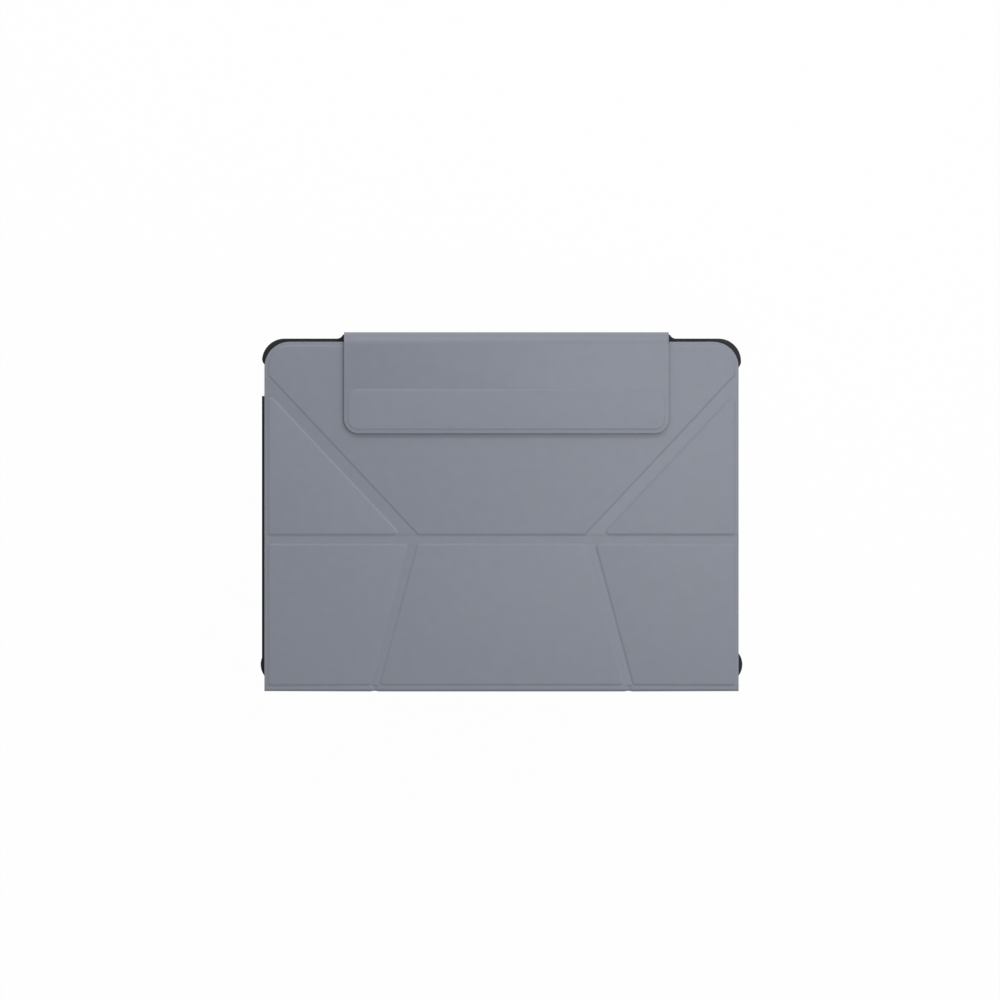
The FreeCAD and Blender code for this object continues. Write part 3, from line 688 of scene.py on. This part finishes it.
def key_middles(node):
    """The middle of every key in a row, from the loose islands of its mesh."""
    mesh = bmesh.new()
    mesh.from_mesh(nodes[node].data)
    bmesh.ops.remove_doubles(mesh, verts=mesh.verts, dist=weld)
    loose = set(mesh.verts)
    middles = []
    while loose:
        island = [loose.pop()]
        for vert in island:
            near = {edge.other_vert(vert) for edge in vert.link_edges} & loose
            loose -= near
            island.extend(near)
        ends = [(min(v.co[k] for v in island), max(v.co[k] for v in island)) for k in range(2)]
        middles.append(tuple(sum(pair) / 2 for pair in ends))
    mesh.free()
    return sorted(middles)


def add_dome(mesh, middle, z):
    """One rubber dome, flared at the sheet and narrow under the key."""
    rings = []
    for step in range(dome_steps + 1):
        share = step / dome_steps
        radius = dome_base_r + (dome_top_r - dome_base_r) * math.sin(math.pi / 2 * share)
        level = z[1] + (z[0] - z[1]) * (1 - math.cos(math.pi / 2 * share))
        ring = []
        for side in range(dome_sides):
            turn = 2 * math.pi * side / dome_sides
            ring.append((middle[0] + radius * math.cos(turn), middle[1] + radius * math.sin(turn), level))
        rings.append(ring)
    add_rings(mesh, rings, True, True)


def build_domes():
    """Rubber sheet under the keys, with a dome under every key of each row."""
    x, y = spans("circuit_membrane")[:2]
    low, high = spans("dome_sheet")[2]
    base = high - dome_sheet_t
    outline = rounded(rectangle(x, y), [dome_sheet_corner_r] * 4)
    sheet = plate("dome_sheet_rubber", [outline], (base, high), [silicone])
    placed(sheet, "dome_sheet", "keyboard")
    for row in finishes[key_plastic]:
        mesh = bmesh.new()
        for middle in key_middles(row):
            add_dome(mesh, middle, (low, base))
        bmesh.ops.recalc_face_normals(mesh, faces=mesh.faces)
        domes = finished(row + ".domes", mesh, [silicone])
        placed(domes, "dome_sheet", "keyboard")
        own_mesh(domes)


def seen_directly(tree):
    """1 for a ray from the camera, a reflection or through glass, and 0 for light on the object."""
    path = tree.nodes.new("ShaderNodeLightPath")
    value = path.outputs["Is Camera Ray"]
    for kind in ("Is Glossy Ray", "Is Transmission Ray"):
        larger = tree.nodes.new("ShaderNodeMath")
        larger.operation = "MAXIMUM"
        tree.links.new(value, larger.inputs[0])
        tree.links.new(path.outputs[kind], larger.inputs[1])
        value = larger.outputs[0]
    return value


def floor_paper():
    """Pale paper that looks white and keeps a faint shadow."""
    pale = bpy.data.materials.new("floor_paper")
    pale.use_nodes = True
    tree = pale.node_tree
    shader = tree.nodes["Principled BSDF"]
    shader.inputs["Base Color"].default_value = floor_colour
    shader.inputs["Roughness"].default_value = floor_roughness
    shader.inputs["Specular IOR Level"].default_value = 0.0
    glow = tree.nodes.new("ShaderNodeEmission")
    glow.inputs["Strength"].default_value = 1.0
    share = tree.nodes.new("ShaderNodeMath")
    share.operation = "MULTIPLY"
    share.inputs[1].default_value = floor_glow
    tree.links.new(seen_directly(tree), share.inputs[0])
    mix = tree.nodes.new("ShaderNodeMixShader")
    tree.links.new(share.outputs[0], mix.inputs["Fac"])
    tree.links.new(shader.outputs[0], mix.inputs[1])
    tree.links.new(glow.outputs[0], mix.inputs[2])
    tree.links.new(mix.outputs[0], tree.nodes["Material Output"].inputs["Surface"])
    return pale


def build_floor():
    """Pale floor, far enough below for the folded stand."""
    data = bpy.data.meshes.new("floor")
    half = floor_size / 2
    corners = [(*corner, 0) for corner in rectangle((-half, half), (-half, half))]
    data.from_pydata(corners, [], [range(len(corners))])
    floor = bpy.data.objects.new("floor", data)
    floor.location.z = -floor_drop
    bpy.context.scene.collection.objects.link(floor)
    data.materials.append(floor_paper())


def build_light():
    """A white surround that is brightest above the upper right, and two soft lamps."""
    world = bpy.data.worlds.new("studio")
    world.use_nodes = True
    bpy.context.scene.world = world
    tree = world.node_tree
    fill = tree.nodes["Background"]
    fill.inputs["Color"].default_value = white
    direction = tree.nodes.new("ShaderNodeTexCoord").outputs["Generated"]
    lean = tree.nodes.new("ShaderNodeVectorMath")
    lean.operation = "DOT_PRODUCT"
    lean.inputs[1].default_value = fill_lean
    tree.links.new(direction, lean.inputs[0])
    level = tree.nodes.new("ShaderNodeMath")
    level.use_clamp = True
    level.inputs[1].default_value = fill_strength
    tree.links.new(lean.outputs["Value"], level.inputs[0])
    tree.links.new(level.outputs[0], fill.inputs["Strength"])
    seen = tree.nodes.new("ShaderNodeBackground")
    seen.inputs["Strength"].default_value = 1.0
    mix = tree.nodes.new("ShaderNodeMixShader")
    tree.links.new(seen_directly(tree), mix.inputs["Fac"])
    tree.links.new(fill.outputs[0], mix.inputs[1])
    tree.links.new(seen.outputs[0], mix.inputs[2])
    tree.links.new(mix.outputs[0], tree.nodes["World Output"].inputs["Surface"])
    build_lamp("key", key_place, key_size, key_power)
    build_lamp("edge", edge_place, edge_size, edge_power)


def build_lamp(name, place, size, power):
    """A soft lamp that faces the object."""
    data = bpy.data.lights.new(name, "AREA")
    data.shape = "RECTANGLE"
    data.size, data.size_y = size
    data.energy = power
    lamp = bpy.data.objects.new(name, data)
    lamp.location = place
    lamp.rotation_euler = Vector(place).to_track_quat("Z", "Y").to_euler()
    bpy.context.scene.collection.objects.link(lamp)


def build_camera():
    """A long lens that looks straight down."""
    data = bpy.data.cameras.new("camera")
    data.lens = lens
    data.sensor_width = sensor
    camera = bpy.data.objects.new("camera", data)
    cover_top = spans("upper_skin")[2][1]
    camera.location = (view_x, view_y, cover_top + view_width * lens / sensor)
    data.clip_end = view_limit
    bpy.context.scene.collection.objects.link(camera)
    bpy.context.scene.camera = camera
    bpy.context.scene.view_settings.view_transform = "Standard"


finish_nodes()
build_cover()
build_spine()
build_back()
build_flap()
build_domes()
build_floor()
build_light()
build_camera()
